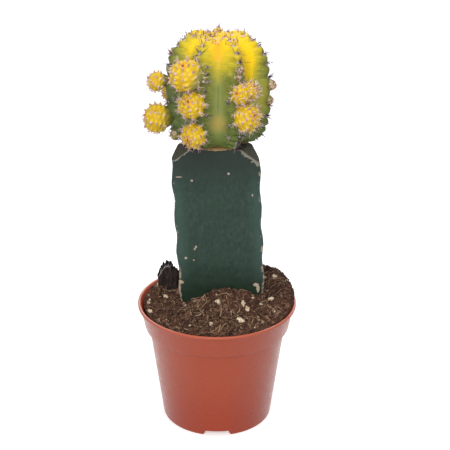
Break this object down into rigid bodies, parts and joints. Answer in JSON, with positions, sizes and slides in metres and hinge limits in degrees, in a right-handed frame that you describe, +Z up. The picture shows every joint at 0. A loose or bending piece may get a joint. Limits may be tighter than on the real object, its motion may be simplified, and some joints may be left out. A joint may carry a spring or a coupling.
{
  "type": "potted moon cactus",
  "caption": "Grafted cactus for a shelf or windowsill: a yellow and green ribbed ball with round offsets, on an angular green stem in a small terracotta-coloured plastic pot.",
  "frame": {"origin": "on the pot's axis, at the surface that its foot stands on", "axes": "+Z up; -Y towards the viewer of the picture, who faces the flat side of the stem; +X to the viewer's right"},
  "size_m": [0.065, 0.065, 0.1648],
  "materials": {
    "pot": "satin",
    "soil": "matte",
    "bark": "matte",
    "rootstock": "satin",
    "scion": "satin",
    "offset": "satin"
  },
  "bodies": {
    "root": {"pot": "pot", "soil": "soil", "bark_piece": "bark", "rootstock": "rootstock", "scion": "scion", "offset_upper_left": "offset", "offset_outer_left_small": "offset", "offset_outer_left": "offset", "offset_middle_left": "offset", "offset_lower_left": "offset", "offset_upper_right": "offset", "offset_lower_right": "offset", "offset_back_right": "offset", "offset_back_right_low": "offset", "offset_back": "offset", "offset_back_left": "offset", "offset_back_left_high": "offset"}
  },
  "joints": []
}
